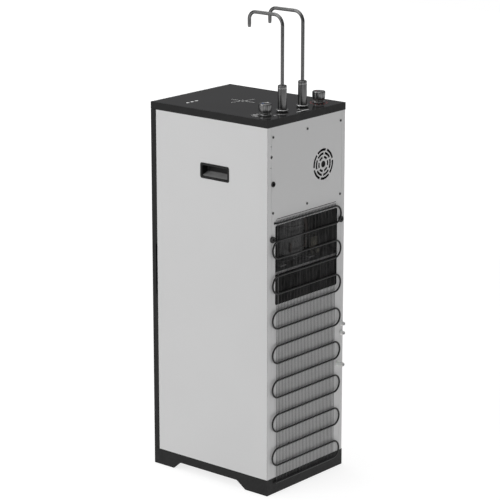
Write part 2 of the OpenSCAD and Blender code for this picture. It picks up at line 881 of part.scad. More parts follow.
module filter_manifold() {
    z0 = filter_z[1] + 0.6;
    color(white) difference() {
        union() {
            block([-118, filter_y - 26, z0 + 30], [118, filter_y + 26, z0 + 46]);
            for (x = filter_x) post(x, filter_y, z0, z0 + 30.5, 27);
            block([-126, filter_y - 20, z0 + 46], [126, filter_y + 20, z0 + 48]);
            for (s = [-1, 1]) block([s > 0 ? 124 : -126, filter_y - 20, z0 + 46],
                [s > 0 ? 126 : -124, filter_y + 20, shelf_top - 20.5]);
        }
        for (x = filter_x) post(x, filter_y, z0 - over, z0 + 22, 14.05);
    }
}

module filter_cartridge(x) {
    z0 = filter_z[0];
    z1 = filter_z[1];
    color(white) translate([x, filter_y, 0]) {
        rotate_extrude() polygon([
            [0, z0], [filter_r - 8, z0], [filter_r, z0 + 8], [filter_r, z1 - 14], [filter_r - 7, z1 - 4],
            [filter_r - 7, z1], [14, z1], [14, z1 + 20], [0, z1 + 20]
        ]);
        // Ribs to hold while twisting
        for (a = [0, 90])
            rotate([0, 0, a]) block([-filter_r - 1.5, -2, z0 + 12], [filter_r + 1.5, 2, z0 + 60]);
    }
}

module filter_cartridge_1() {
    filter_cartridge(filter_x[0]);
}

module filter_cartridge_2() {
    filter_cartridge(filter_x[1]);
}

module filter_cartridge_3() {
    filter_cartridge(filter_x[2]);
}

module booster_pump() {
    x = -112;
    y = 30;
    z0 = plinth_h + sheet;
    color([0.25, 0.27, 0.3]) {
        block([x - 30, y - 34, z0], [x + 30, y + 34, z0 + 4]);
        post(x, y, z0 + 4, z0 + 96, 28);
        block([x - 30, y - 30, z0 + 96], [x + 30, y + 30, z0 + 130]);
        rod_x(x + 30, x + 42, y - 14, z0 + 114, 5);
        rod_x(x + 30, x + 42, y + 14, z0 + 114, 5);
    }
}

module storage_tank() {
    r = 96;
    z0 = plinth_h + sheet;
    color([0.2, 0.26, 0.34]) translate([30, 70, 0]) difference() {
        rotate_extrude() polygon(concat(
            [[0, z0 + 12], [52, z0 + 12], [52, z0], [60, z0], [60, z0 + 16]],
            [for (i = [0:5]) let (a = -60 + 60 * i / 5) [r - 46 + 46 * cos(a), z0 + 60 + 46 * sin(a)]],
            [for (i = [1:6]) let (a = 90 * i / 6) [20 + (r - 20) * cos(a), z0 + 250 + 60 * sin(a)]],
            [[9, z0 + 310], [9, z0 + 330], [0, z0 + 330]]
        ));
        post(0, 0, z0 + 70, z0 + 280, 72);
    }
}

// A straight push-in fitting through the rear wall: a flange outside, a nut inside
module fitting_shape(p, shank_r, flange_r, out, tail) {
    x = p[0];
    z = p[1];
    difference() {
        union() {
            rod_y(x, z, hd - tail, hd + out, shank_r);
            rod_y(x, z, hd, hd + 3, flange_r);
            rod_y(x, z, hd - 8, hd - 2 * sheet, flange_r + 0.5);
        }
        rod_y(x, z, hd + out - 3.4, hd + out + over, tube_bore_r + collet_t);
        rod_y(x, z, hd + out - 16, hd + out, tube_bore_r);
        rod_y(x, z, hd - tail - over, hd + out, 2.2);
    }
}

module inlet_fitting() {
    color(white) fitting_shape(inlet_pos, inlet_shank_r, 7.2, inlet_out, 24);
}

module service_fittings() {
    color(white) for (p = [drain_pos, tank_pos]) fitting_shape(p, small_shank_r, 6.4, small_out, 20);
}

// The ring that is pushed in to free the tube
module collet(p, out) {
    x = p[0];
    z = p[1];
    color([0.75, 0.75, 0.73]) difference() {
        union() {
            rod_y(x, z, hd + out - 1.6, hd + out + 1.8, tube_bore_r + collet_t - fit_gap);
            rod_y(x, z, hd + out + 1.8, hd + out + collet_out, tube_bore_r + collet_t + 0.3);
        }
        rod_y(x, z, hd + out - 3, hd + out + 5, tube_bore_r);
    }
}

module collet_inlet() {
    collet(inlet_pos, inlet_out);
}

module collet_drain() {
    collet(drain_pos, small_out);
}

module collet_tank() {
    collet(tank_pos, small_out);
}

// Taps

module tap_bodies() {
    color(chrome) both_sides(tap_x) difference() {
        union() {
            post(0, 0, tap_bottom, collar_z[0], tap_thread_r);
            post(0, 0, collar_z[0], collar_z[1] - 1, collar_r);
            post(0, 0, collar_z[1] - 1, collar_z[1], collar_r - 0.8);
        }
        post(0, 0, spout_seat, collar_z[1] + over, spout_r + fit_gap);
        post(0, 0, tap_bottom - over, spout_seat + over, 3.4);
        post(0, 0, collar_z[1] - 10, collar_z[1] - 7.5, 6.6);
    }
}

module tap_rings() {
    h = collar_z[0] - body_h;
    color(chrome) both_sides(tap_x) rotate_extrude() polygon([
        [tap_thread_r, body_h], [12.5, body_h], [14.2, body_h + h * 0.35], [16.7, body_h + h * 0.8],
        [16.9, body_h + h - 0.3], [16.3, body_h + h], [tap_thread_r, body_h + h]
    ]);
}

module tap_nuts() {
    color(steel) both_sides(tap_x) difference() {
        union() {
            post(0, 0, deck_z - 1.6, deck_z, 14);
            hex(0, 0, deck_z - 9, deck_z - 1.6, 24);
        }
        post(0, 0, deck_z - 10, deck_z + over, tap_thread_r);
    }
}

module spout_seals() {
    color([0.1, 0.1, 0.1]) both_sides(tap_x) difference() {
        post(0, 0, collar_z[1] - 10, collar_z[1] - 7.5, 6.6);
        post(0, 0, collar_z[1] - 11, collar_z[1] - 6, spout_r + fit_gap + 0.02);
    }
}

// A quarter bend in the YZ plane from +Z to -Y
module quarter(y, z, r, tube_r, turn) {
    translate([0, y, z]) rotate([0, 90, 0]) rotate([0, 0, turn])
        rotate_extrude(angle = 90) translate([r, 0]) circle(tube_r);
}

module spout_solid(r, extra) {
    bend_back = 27;
    bend_front = 20;
    top = body_h + spout_h;
    tip = body_h + 205.5;
    post(0, 0, spout_seat + 0.4 - extra, top - bend_back, r);
    quarter(-bend_back, top - bend_back, bend_back, r, 90);
    rod_y(0, top, -spout_reach + bend_front, -bend_back, r);
    quarter(-spout_reach + bend_front, top - bend_front, bend_front, r, 180);
    post(0, -spout_reach, tip - extra, top - bend_front, r);
}

module spout(x) {
    wall = 1.1;
    color(chrome) translate([x, tap_y, 0]) difference() {
        spout_solid(spout_r, 0);
        spout_solid(spout_r - wall, over);
    }
}

module spout_cold() {
    spout(tap_x);
}

module spout_hot() {
    spout(-tap_x);
}

module knob(x) {
    color(chrome) translate([x, tap_y, 0]) {
        rotate_extrude() polygon([
            [0, knob_z[0]], [12.8, knob_z[0]], [14.2, knob_z[0] + 1.6], [16.2, knob_z[0] + 9],
            [17.1, knob_z[1] - 5], [17.2, knob_z[1] - 1.6], [16.2, knob_z[1] - 0.4], [15, knob_z[1]],
            [0, knob_z[1]]
        ]);
        post(0, 0, knob_z[0] - 22, knob_z[0], knob_stem_r);
    }
}

module knob_cold() {
    knob(knob_x);
}

module knob_hot() {
    knob(-knob_x);
}

module knob_valves() {
    color(steel) both_sides(knob_x) difference() {
        union() {
            post(0, 0, body_h - 42, deck_z - 0.01, 12);
            post(0, 0, deck_z - 0.5, body_h + 2, knob_neck_r);
            rod_y(0, body_h - 32, -24, -11, 5);
        }
        post(0, 0, body_h - 18, body_h + 3, knob_stem_r + fit_gap);
    }
}

module knob_rings() {
    color(chrome) both_sides(knob_x) rotate_extrude() polygon([
        [knob_neck_r, body_h], [14.6, body_h], [16, body_h + 1.6], [16.8, body_h + 4.2],
        [16.4, body_h + 4.8], [10, body_h + 4.8], [10, body_h + 2], [knob_neck_r, body_h + 2]
    ]);
}

// Hoses inside the cabinet

cold_route = [
    [cold_x, cold_y, cold_z[1] + 30.8], [cold_x, cold_y, cold_z[1] + 48], [cold_x - 8, cold_y + 30, 924],
    [tap_x + 2, 40, 930], [tap_x, 110, 928], [tap_x, tap_y - 6, 932], [tap_x, tap_y, tap_bottom - 0.8]
];
hot_route = [
    [hot_x, hot_y, hot_z[1] + 24.8], [hot_x, hot_y, hot_z[1] + 44], [hot_x + 8, hot_y + 34, 916],
    [-tap_x - 4, 40, 930], [-tap_x, 110, 928], [-tap_x, tap_y - 6, 932], [-tap_x, tap_y, tap_bottom - 0.8]
];

module tank_hoses() {
    color(white) for (route = [cold_route, hot_route]) swept_tube(smooth(route), 4.2);
}

placed() plinth();
placed() foot_pads();
placed() base_pan();
placed() side_panel_right();
placed() side_panel_left();
placed() handle_cup_right();
placed() handle_cup_left();
placed() rear_cover();
placed() cover_screws();
placed() rear_panel();
placed() front_frame();
placed() mid_shelf();
placed() shelf_post();
placed() top_frame();
placed() top_glass();
placed() door_frame();
placed() door_glass();
placed() hinge_pins();
placed() magnet_catch();
placed() condenser_tube();
placed() condenser_wires();
placed() condenser_clips();
placed() compressor_shell();
placed() compressor_base();
placed() compressor_mounts();
placed() terminal_cover();
placed() discharge_pipe();
placed() filter_drier();
placed() cold_tank();
placed() evaporator_coil();
placed() tank_insulation();
placed() hot_tank();
placed() heater();
placed() fan_frame();
placed() fan_rotor();
placed() control_box();
placed() cord_bushing();
placed() filter_manifold();
placed() filter_cartridge_1();
placed() filter_cartridge_2();
placed() filter_cartridge_3();
placed() booster_pump();
placed() storage_tank();
placed() inlet_fitting();
placed() service_fittings();
placed() collet_inlet();
placed() collet_drain();
placed() collet_tank();
placed() tap_bodies();
placed() tap_rings();
placed() tap_nuts();
placed() spout_seals();
placed() spout_cold();
placed() spout_hot();
placed() knob_cold();
placed() knob_hot();
placed() knob_valves();
placed() knob_rings();
placed() water_valve();
placed() tank_hoses();
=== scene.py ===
"""Looks of a floor-standing hot and cold water dispenser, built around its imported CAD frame."""

import json
import math

import bmesh
import bpy
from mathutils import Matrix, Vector


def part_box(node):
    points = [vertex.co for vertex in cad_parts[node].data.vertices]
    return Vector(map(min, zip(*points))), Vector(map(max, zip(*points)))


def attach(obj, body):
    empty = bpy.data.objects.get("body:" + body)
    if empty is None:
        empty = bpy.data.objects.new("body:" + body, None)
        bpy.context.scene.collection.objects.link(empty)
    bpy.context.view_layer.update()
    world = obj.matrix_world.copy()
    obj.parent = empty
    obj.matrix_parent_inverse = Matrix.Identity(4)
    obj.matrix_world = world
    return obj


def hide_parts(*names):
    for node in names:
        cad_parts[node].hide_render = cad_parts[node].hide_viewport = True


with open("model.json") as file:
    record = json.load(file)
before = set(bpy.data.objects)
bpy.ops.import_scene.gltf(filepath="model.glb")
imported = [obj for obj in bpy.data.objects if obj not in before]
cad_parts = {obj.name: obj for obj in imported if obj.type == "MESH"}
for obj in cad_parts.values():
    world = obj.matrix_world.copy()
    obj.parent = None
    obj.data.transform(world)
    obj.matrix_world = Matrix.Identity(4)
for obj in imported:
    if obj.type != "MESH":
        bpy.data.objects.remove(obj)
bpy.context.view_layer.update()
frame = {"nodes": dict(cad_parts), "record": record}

# ---------------------------------------------------------------- sizes taken from the frame

MM = 0.001
base_low, base_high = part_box("plinth")
HALF_W = (base_high.x - base_low.x) / 2
MID_Y = (base_high.y + base_low.y) / 2
REAR_Y = base_high.y
FRONT_Y = base_low.y
TOP_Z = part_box("top_frame")[1].z


def centre(node):
    """Middle of a CAD node's box."""
    low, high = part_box(node)
    return (low + high) / 2


# ---------------------------------------------------------------- camera, light and floor

CAMERA_AZIMUTH = 130.015
CAMERA_ELEVATION = 15.083
CAMERA_DISTANCE = 5.7887
CAMERA_LENS = 157.28
CAMERA_SENSOR = 36
# The point that the camera looks at: its height, and how far it lies to the camera's right
CAMERA_HEIGHT = 0.6003
CAMERA_RIGHT = 0.0050


def direction(azimuth, elevation):
    """Unit vector from the object towards a viewer at these angles, in degrees."""
    a, e = math.radians(azimuth), math.radians(elevation)
    return Vector((math.sin(a) * math.cos(e), -math.cos(a) * math.cos(e), math.sin(e)))


def make_camera():
    """The photograph's view of the cabinet, from behind and to its right."""
    back = direction(CAMERA_AZIMUTH, CAMERA_ELEVATION)
    right = Vector((0, 0, 1)).cross(back).normalized()
    target = Vector((0, MID_Y, CAMERA_HEIGHT)) + right * CAMERA_RIGHT
    data = bpy.data.cameras.new("camera")
    data.lens = CAMERA_LENS
    data.sensor_width = CAMERA_SENSOR
    camera = bpy.data.objects.new("camera", data)
    camera.location = target + back * CAMERA_DISTANCE
    camera.rotation_mode = "QUATERNION"
    camera.rotation_quaternion = back.to_track_quat("Z", "Y")
    bpy.context.scene.collection.objects.link(camera)
    bpy.context.scene.camera = camera


# Each light: name, azimuth and elevation in degrees, distance and size in metres, power in watts
LIGHTS = (
    ("key_light", 70, 30, 4.0, 2.4, 55),
    ("top_light", 130, 88, 4.0, 3.0, 42),
    ("front_light", -20, 60, 4.2, 2.6, 30),
)
# Height of the point that the lights face
LIT_HEIGHT = 0.6
ROOM_STRENGTH = 0.56
# The room's colour low and high, and the Z of the direction at which each is reached
ROOM_DARK = (0.22, 0.22, 0.225, 1)
ROOM_DARK_AT = 0.3
ROOM_WHITE = (1, 1, 1, 1)
ROOM_WHITE_AT = 0.85
FLOOR_SIZE = 14.0


def area_light(name, azimuth, elevation, distance, size, power):
    """A square softbox that looks at the middle of the cabinet."""
    data = bpy.data.lights.new(name, "AREA")
    data.shape = "SQUARE"
    data.size = size
    data.energy = power
    light = bpy.data.objects.new(name, data)
    back = direction(azimuth, elevation)
    light.location = Vector((0, MID_Y, LIT_HEIGHT)) + back * distance
    light.rotation_mode = "QUATERNION"
    light.rotation_quaternion = back.to_track_quat("Z", "Y")
    bpy.context.scene.collection.objects.link(light)


def make_world():
    """White towards the camera; a plain studio room, brighter overhead, for everything else."""
    world = bpy.data.worlds.new("studio")
    bpy.context.scene.world = world
    world.use_nodes = True
    tree = world.node_tree
    tree.nodes.clear()
    add = tree.nodes.new
    out = add("ShaderNodeOutputWorld")
    mix = add("ShaderNodeMixShader")
    seen = add("ShaderNodeBackground")
    lit = add("ShaderNodeBackground")
    path = add("ShaderNodeLightPath")
    coords = add("ShaderNodeTexCoord")
    split = add("ShaderNodeSeparateXYZ")
    ramp = add("ShaderNodeValToRGB")
    seen.inputs["Color"].default_value = ROOM_WHITE
    seen.inputs["Strength"].default_value = 1.0
    lit.inputs["Strength"].default_value = ROOM_STRENGTH
    below, above = ramp.color_ramp.elements
    below.position, below.color = ROOM_DARK_AT, ROOM_DARK
    above.position, above.color = ROOM_WHITE_AT, ROOM_WHITE
    tree.links.new(coords.outputs["Generated"], split.inputs[0])
    tree.links.new(split.outputs["Z"], ramp.inputs["Fac"])
    tree.links.new(ramp.outputs["Color"], lit.inputs["Color"])
    tree.links.new(path.outputs["Is Camera Ray"], mix.inputs["Fac"])
    tree.links.new(lit.outputs[0], mix.inputs[1])
    tree.links.new(seen.outputs[0], mix.inputs[2])
    tree.links.new(mix.outputs[0], out.inputs["Surface"])


def make_floor():
    """A wide white floor, not part of the object."""
    mesh = bpy.data.meshes.new("floor")
    half = FLOOR_SIZE / 2
    corners = [(-half, -half, 0), (half, -half, 0), (half, half, 0), (-half, half, 0)]
    mesh.from_pydata(corners, [], [(0, 1, 2, 3)])
    floor = bpy.data.objects.new("floor", mesh)
    bpy.context.scene.collection.objects.link(floor)
    floor.data.materials.append(floor_paint())


# ---------------------------------------------------------------- materials


class Nodes:
    """A short way to write a material's node tree."""

    def __init__(self, name):
        self.material = bpy.data.materials.new(name)
        self.material.use_nodes = True
        self.tree = self.material.node_tree
        self.shader = self.tree.nodes["Principled BSDF"]
        self.coords = self.tree.nodes.new("ShaderNodeTexCoord").outputs["Object"]

    def set(self, **values):
        """Numbers that are the same all over the surface, set on the shader itself."""
        for key, value in values.items():
            self.shader.inputs[key.replace("_", " ")].default_value = value

    def link(self, a, b):
        self.tree.links.new(a, b)

    def stretch(self, factors):
        """Object coordinates scaled by a vector, for brushing and other streaked patterns."""
        node = self.tree.nodes.new("ShaderNodeMapping")
        node.inputs["Scale"].default_value = factors
        self.link(self.coords, node.inputs["Vector"])
        return node.outputs["Vector"]

    def noise(self, scale, detail=3.0, coords=None):
        """A cloudy value, mostly between 0.3 and 0.7."""
        node = self.tree.nodes.new("ShaderNodeTexNoise")
        node.inputs["Scale"].default_value = scale
        node.inputs["Detail"].default_value = detail
        self.link(coords or self.coords, node.inputs["Vector"])
        return node.outputs["Fac"]

    def ranged(self, value, low, high, from_low=0.3, from_high=0.7):
        """A value moved from one range to another and held to its ends."""
        node = self.tree.nodes.new("ShaderNodeMapRange")
        node.inputs["From Min"].default_value = from_low
        node.inputs["From Max"].default_value = from_high
        node.inputs["To Min"].default_value = low
        node.inputs["To Max"].default_value = high
        self.link(value, node.inputs["Value"])
        return node.outputs["Result"]

    def mix(self, factor, a, b):
        """Colour a where factor is 0 and colour b where it is 1; each is a colour or an output."""
        node = self.tree.nodes.new("ShaderNodeMix")
        node.data_type = "RGBA"
        self.link(factor, node.inputs["Factor"])
        for socket, colour in (("A", a), ("B", b)):
            target = [s for s in node.inputs if s.name == socket and s.type == "RGBA"][0]
            if isinstance(colour, tuple):
                target.default_value = (*colour, 1)
            else:
                self.link(colour, target)
        return [s for s in node.outputs if s.type == "RGBA"][0]

    def math(self, kind, a, b=None):
        """The result of a math node on one or two values; each is a number or an output."""
        node = self.tree.nodes.new("ShaderNodeMath")
        node.operation = kind
        for i, value in enumerate((a, b)):
            if value is None:
                continue
            if isinstance(value, (int, float)):
                node.inputs[i].default_value = value
            else:
                self.link(value, node.inputs[i])
        return node.outputs[0]

    def axis(self, name):
        """One of the object coordinates X, Y and Z."""
        node = self.tree.nodes.new("ShaderNodeSeparateXYZ")
        self.link(self.coords, node.inputs[0])
        return node.outputs[name]

    def bump(self, height, strength, distance):
        """Relief on top of any that the shader already has."""
        node = self.tree.nodes.new("ShaderNodeBump")
        node.inputs["Strength"].default_value = strength
        node.inputs["Distance"].default_value = distance
        self.link(height, node.inputs["Height"])
        previous = self.shader.inputs["Normal"]
        if previous.is_linked:
            self.link(previous.links[0].from_socket, node.inputs["Normal"])
        self.link(node.outputs["Normal"], previous)

    def colour(self, output):
        self.link(output, self.shader.inputs["Base Color"])

    def roughness(self, output):
        self.link(output, self.shader.inputs["Roughness"])


def surface(name, dark, light, grain=40.0, rough=(0.4, 0.5), fine=900.0, bump=0.03, **values):
    """A painted, moulded or cast surface: mottled colour, uneven gloss and a fine skin."""
    n = Nodes(name)
    n.set(**values)
    n.colour(n.mix(n.ranged(n.noise(grain), 0, 1), dark, light))
    n.roughness(n.ranged(n.noise(grain * 2.7, 4), rough[0], rough[1]))
    n.bump(n.noise(fine, 2), bump, 0.0004)
    return n.material


def grey(value):
    return (value, value, value)


# How much the floor glows near the object and far from it, and where that change starts and ends
FLOOR_GLOW = (0.8, 1.0)
FLOOR_GLOW_REACH = (2.2, 4.5)
# How far inside an outer face a point still counts as part of that face
FACE_DEPTH = 0.6 * MM
EDGE_DEPTH = 0.5 * MM
# How deep below the side wall's face a grip's cup starts to get its painted sheen
CUP_LIP_DEPTH = 1.5 * MM


def floor_paint():
    """White studio floor that glows a little, more so far from the object."""
    n = Nodes("floor_white")
    n.set(Emission_Color=(1, 1, 1, 1))
    n.colour(n.mix(n.ranged(n.noise(2.0), 0, 1), grey(0.30), grey(0.31)))
    n.roughness(n.ranged(n.noise(5.4, 4), 0.8, 0.9))
    n.bump(n.noise(900.0, 2), 0.03, 0.0004)
    away = n.tree.nodes.new("ShaderNodeVectorMath")
    away.operation = "LENGTH"
    n.link(n.coords, away.inputs[0])
    glow = n.ranged(away.outputs["Value"], *FLOOR_GLOW, *FLOOR_GLOW_REACH)
    n.link(glow, n.shader.inputs["Emission Strength"])
    return n.material


def panel_paint():
    """Light grey satin powder coat outside; near-black painted shade on the faces inside the cabinet.
    """
    n = Nodes("panel_paint")
    n.set(Specular_IOR_Level=0.35)
    outer_x = n.math("GREATER_THAN", n.math("ABSOLUTE", n.axis("X")), HALF_W - FACE_DEPTH)
    outer_y = n.math("GREATER_THAN", n.axis("Y"), REAR_Y - FACE_DEPTH)
    outside = n.math("MAXIMUM", outer_x, outer_y)
    cloud = n.ranged(n.noise(3.0, 2), 0, 1)
    paint = n.mix(cloud, grey(0.60), grey(0.625))
    speck = n.ranged(n.noise(700.0, 2), 0, 1, 0.2, 0.8)
    paint = n.mix(n.math("MULTIPLY", speck, 0.12), paint, grey(0.52))
    # Faces inside the cabinet get grey 0.03 as painted shade; the outer faces keep the paint.
    n.colour(n.mix(outside, grey(0.03), paint))
    n.roughness(n.ranged(n.noise(25.0, 4), 0.38, 0.47))
    n.bump(n.noise(1100.0, 1), 0.06, 0.0003)
    n.bump(n.noise(60.0, 1), 0.05, 0.0006)
    return n.material


def painted_light_and_shade_edge(name, node):
    """Painted shade inside the cabinet; the rearmost face shows steel painted lighter towards +X as a
    painted light fade.
    """
    n = Nodes(name)
    low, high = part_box(node)
    rear = n.math("GREATER_THAN", n.axis("Y"), high.y - EDGE_DEPTH)
    across = n.ranged(n.axis("X"), 0, 1, low.x, high.x)
    # Painted light fade: the rear face is darker at its low X end and lighter towards +X.
    steel = n.mix(across, grey(0.14), grey(0.42))
    mottled = n.mix(n.ranged(n.noise(45.0, 4), 0, 0.5), steel, grey(0.10))
    # All but the rearmost face get grey 0.022 as painted shade.
    n.colour(n.mix(rear, grey(0.022), mottled))
    n.roughness(n.ranged(n.noise(30.0, 3), 0.4, 0.58))
    n.bump(n.noise(500.0, 2), 0.05, 0.0004)
    return n.material


def grip_plastic():
    """Black moulded cup whose upward-facing floor is painted grey as a sheen."""
    n = Nodes("grip_plastic")
    n.set(Specular_IOR_Level=0.25)
    facing = n.tree.nodes.new("ShaderNodeNewGeometry").outputs["True Normal"]
    split = n.tree.nodes.new("ShaderNodeSeparateXYZ")
    n.link(facing, split.inputs[0])
    # Painted sheen: upward-facing faces inside the cup turn grey 0.30, patchy by noise.
    painted_sheen = n.ranged(split.outputs["Z"], 0, 1, 0.35, 0.8)
    inside = n.math("LESS_THAN", n.math("ABSOLUTE", n.axis("X")), HALF_W - CUP_LIP_DEPTH)
    sheen_patches = n.ranged(n.noise(55.0, 4), 0.75, 1, 0.3, 0.7)
    painted_sheen = n.math("MULTIPLY", n.math("MULTIPLY", painted_sheen, inside), sheen_patches)
    n.colour(n.mix(painted_sheen, grey(0.007), grey(0.30)))
    n.roughness(n.ranged(n.noise(160.0, 3), 0.45, 0.58))
    n.bump(n.noise(1500.0, 2), 0.1, 0.0004)
    return n.material


def wire_paint():
    """Thin grey coat on the condenser wires, patchy from place to place."""
    n = Nodes("wire_paint")
    n.set(Specular_IOR_Level=0.3)
    patches = n.ranged(n.noise(1.0, 4, n.stretch((160, 160, 28))), 0, 1)
    n.colour(n.mix(patches, grey(0.02), grey(0.13)))
    n.roughness(n.ranged(n.noise(120.0, 3), 0.4, 0.55))
    n.bump(n.noise(900.0, 2), 0.05, 0.0003)
    return n.material


def streaked_metal(name, dark, light, lines=(60, 60, 2500), rough=(0.22, 0.38), **values):
    """Metal with colour streaks along one direction: brushing on stainless and bright_chrome, painted
    reflections on chrome and knob_chrome.
    """
    n = Nodes(name)
    n.set(Metallic=1.0, **values)
    streaks = n.noise(1.0, 5, n.stretch(lines))
    n.colour(n.mix(n.ranged(streaks, 0, 1), dark, light))
    n.roughness(n.ranged(streaks, rough[0], rough[1]))
    n.bump(streaks, 0.05, 0.0002)
    return n.material


def make_materials():
    """Every finish by name; the names of the record's slots are among them."""
    return {
        "black_plastic": surface(
            "black_plastic", grey(0.008), grey(0.012), 60, (0.45, 0.58), 1500, 0.12,
            Specular_IOR_Level=0.22,
        ),
        "rubber_black": surface("rubber_black", grey(0.012), grey(0.02), 90, (0.6, 0.8), 800, 0.1),
        "panel_paint": panel_paint(),
        "shelf_steel": painted_light_and_shade_edge("shelf_steel", "mid_shelf"),
        "post_steel": painted_light_and_shade_edge("post_steel", "shelf_post"),
        "wire_paint": wire_paint(),
        "grip_plastic": grip_plastic(),
        "dull_copper": surface(
            "dull_copper", (0.030, 0.019, 0.014), (0.06, 0.036, 0.026), 120, (0.4, 0.55), 500, 0.08,
            Metallic=0.6,
        ),
        "dull_brass": surface(
            "dull_brass", (0.022, 0.021, 0.015), (0.075, 0.068, 0.045), 160, (0.35, 0.5), 700, 0.08,
            Metallic=0.7,
        ),
        "dark_plastic": surface(
            "dark_plastic", grey(0.008), grey(0.012), 60, (0.5, 0.6), 900, 0.1
        ),
        "bright_chrome": streaked_metal(
            "bright_chrome", grey(0.55), grey(0.65), (300, 300, 30), (0.16, 0.24)
        ),
        "print_white": surface("print_white", grey(0.78), grey(0.84), 300, (0.4, 0.5)),
        "print_red": surface("print_red", (0.24, 0.045, 0.05), (0.30, 0.06, 0.065), 300, (0.4, 0.5)),
        "print_blue": surface(
            "print_blue", (0.03, 0.09, 0.28), (0.04, 0.12, 0.34), 300, (0.35, 0.45)
        ),
        "print_teal": surface(
            "print_teal", (0.03, 0.2, 0.2), (0.04, 0.25, 0.25), 300, (0.35, 0.45)
        ),
        "inner_steel": surface(
            "inner_steel", grey(0.10), grey(0.15), 30, (0.35, 0.5), 500, 0.05, Metallic=0.4
        ),
        "screw_steel": surface(
            "screw_steel", grey(0.05), grey(0.09), 300, (0.35, 0.5), 2000, 0.1, Metallic=0.8
        ),
        "black_glass": surface(
            "black_glass", grey(0.022), grey(0.027), 5, (0.05, 0.10), 30, 0.01, IOR=1.5
        ),
        "condenser_paint": surface(
            "condenser_paint", grey(0.012), grey(0.020), 120, (0.34, 0.44), 900, 0.05,
            Specular_IOR_Level=0.3,
        ),
        "compressor_paint": surface(
            "compressor_paint", grey(0.02), grey(0.03), 50, (0.25, 0.36), 600, 0.06
        ),
        "copper": surface(
            "copper", (0.50, 0.22, 0.12), (0.68, 0.33, 0.19), 80, (0.2, 0.4), 400, 0.04, Metallic=1.0
        ),
        "stainless": streaked_metal("stainless", grey(0.45), grey(0.55)),
        "foam": surface("foam", (0.66, 0.6, 0.44), (0.74, 0.69, 0.53), 120, (0.8, 0.95), 700, 0.5),
        "white_plastic": surface(
            "white_plastic", (0.82, 0.82, 0.80), (0.87, 0.87, 0.85), 40, (0.25, 0.35), 700, 0.04,
            Subsurface_Weight=0.05,
        ),
        "collet_plastic": surface("collet_plastic", grey(0.60), grey(0.68), 80, (0.35, 0.45)),
        "tank_paint": surface(
            "tank_paint", (0.03, 0.045, 0.07), (0.035, 0.055, 0.085), 30, (0.3, 0.42), 500, 0.06
        ),
        "magnet": surface("magnet", grey(0.03), grey(0.05), 200, (0.5, 0.7)),
        # Vertical colour streaks on chrome and knob_chrome are painted reflections of the room.
        "chrome": streaked_metal("chrome", grey(0.125), grey(0.18), (420, 420, 12), (0.24, 0.34)),
        "knob_chrome": streaked_metal("knob_chrome", grey(0.09), grey(0.30), (480, 480, 14), (0.26, 0.36)),
        "valve_brass": surface(
            "valve_brass", (0.45, 0.33, 0.14), (0.58, 0.44, 0.2), 150, (0.25, 0.4), 900, 0.05,
            Metallic=1.0,
        ),
        "hose_silicone": surface(
            "hose_silicone", (0.62, 0.62, 0.58), (0.7, 0.7, 0.66), 60, (0.35, 0.5), 500, 0.03,
            Subsurface_Weight=0.2,
        ),
    }


# ---------------------------------------------------------------- mesh tools


def finish_piece(name, bm, body, slot, nodes=(), finish=None, sharp=38):
    """Turns a bmesh into a piece that rides on a body and may stand for CAD nodes."""
    bmesh.ops.recalc_face_normals(bm, faces=bm.faces)
    mesh = bpy.data.meshes.new(name)
    bm.to_mesh(mesh)
    bm.free()
    mesh.polygons.foreach_set("use_smooth", [True] * len(mesh.polygons))
    mesh.set_sharp_from_angle(angle=math.radians(sharp))
    piece = bpy.data.objects.new(name, mesh)
    bpy.context.scene.collection.objects.link(piece)
    mesh.materials.append(finish or finishes[slot])
    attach(piece, body)
    if nodes:
        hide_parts(*nodes)


def bridge(bm, first, second):
    """Faces between two rings of points; a ring of one point is the tip of a fan."""
    count = max(len(first), len(second))
    for i in range(count):
        j = (i + 1) % count
        corners = [first[i % len(first)], first[j % len(first)]]
        corners += [second[j % len(second)], second[i % len(second)]]
        bm.faces.new(list(dict.fromkeys(corners)))


def loft(bm, rings, closed=False):
    """Skins a list of rings of points, with both ends capped unless it closes on itself."""
    made = [[bm.verts.new(point) for point in ring] for ring in rings]
    for first, second in zip(made, made[1:]):
        bridge(bm, first, second)
    if closed:
        bridge(bm, made[-1], made[0])
        return
    for end in (made[0], made[-1]):
        if len(end) > 2:
            bm.faces.new(end)


def rounded(outline, closed=False, steps=5):
    """The corners of an outline of (x, y, reach) rounded over their own reach."""
    points = []
    count = len(outline)
    for i, (x, y, reach) in enumerate(outline):
        here = Vector((x, y))
        if not reach or (not closed and i in (0, count - 1)):
            points.append(here)
            continue
        before = here + (Vector(outline[i - 1][:2]) - here).normalized() * reach
        after = here + (Vector(outline[(i + 1) % count][:2]) - here).normalized() * reach
        for k in range(steps + 1):
            t = k / steps
            points.append(before * (1 - t) ** 2 + here * 2 * t * (1 - t) + after * t**2)
    return points


# A ring of a smaller radius than this, in mm, is a single point
TIP_RADIUS = 1e-6


def lathe(bm, outline, foot, segments=64, closed=False):
    """Turns an outline of (radius, height, corner reach) in mm round the upright through foot."""
    rings = []
    for radius, height in rounded(outline, closed):
        ring = []
        for k in range(segments if radius > TIP_RADIUS else 1):
            a = math.tau * k / segments
            offset = (radius * math.cos(a) * MM, radius * math.sin(a) * MM, height * MM)
            ring.append(foot + Vector(offset))
        rings.append(ring)
    loft(bm, rings, closed)


def circle(point, across, up, radius, sides):
    """Points of a circle in the plane of two unit vectors."""
    turns = [math.tau * k / sides for k in range(sides)]
    return [point + (across * math.cos(a) + up * math.sin(a)) * radius for a in turns]


